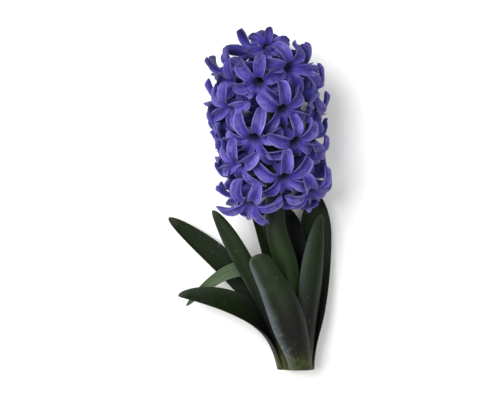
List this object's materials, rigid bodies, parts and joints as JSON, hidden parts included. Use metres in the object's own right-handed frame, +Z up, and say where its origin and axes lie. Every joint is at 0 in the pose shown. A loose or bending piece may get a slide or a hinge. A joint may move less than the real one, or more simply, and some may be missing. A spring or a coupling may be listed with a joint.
{
  "type": "cut hyacinth flower",
  "caption": "Cut hyacinth lying on a surface: violet-blue bell florets packed round an upright stalk, with strap leaves sheathing its foot.",
  "frame": {"origin": "middle of the footprint, on the surface that the flower lies on", "axes": "+Y along the stalk towards the head, +Z up from the surface, +X to the right seen from above with the head at the top"},
  "size_m": [0.0958, 0.1982, 0.0632],
  "materials": {
    "petal": "satin violet-blue petal, paler at its edges, dark in the throat",
    "stalk": "smooth fleshy green",
    "leaf": "smooth dark green with a grey waxy bloom and fine lengthwise veins",
    "leaf_pale": "smooth pale green underside"
  },
  "bodies": {
    "root": {"flower_head": "petal", "flower_stalk": "stalk", "leaf_front_broad": "leaf", "leaf_front_right": "leaf", "leaf_left_slim": "leaf", "leaf_left_arched": "leaf", "leaf_left_long": "leaf", "leaf_left_drooping": "leaf_pale", "leaf_right_upright": "leaf", "leaf_back_right": "leaf", "leaf_back_left": "leaf"}
  },
  "joints": []
}
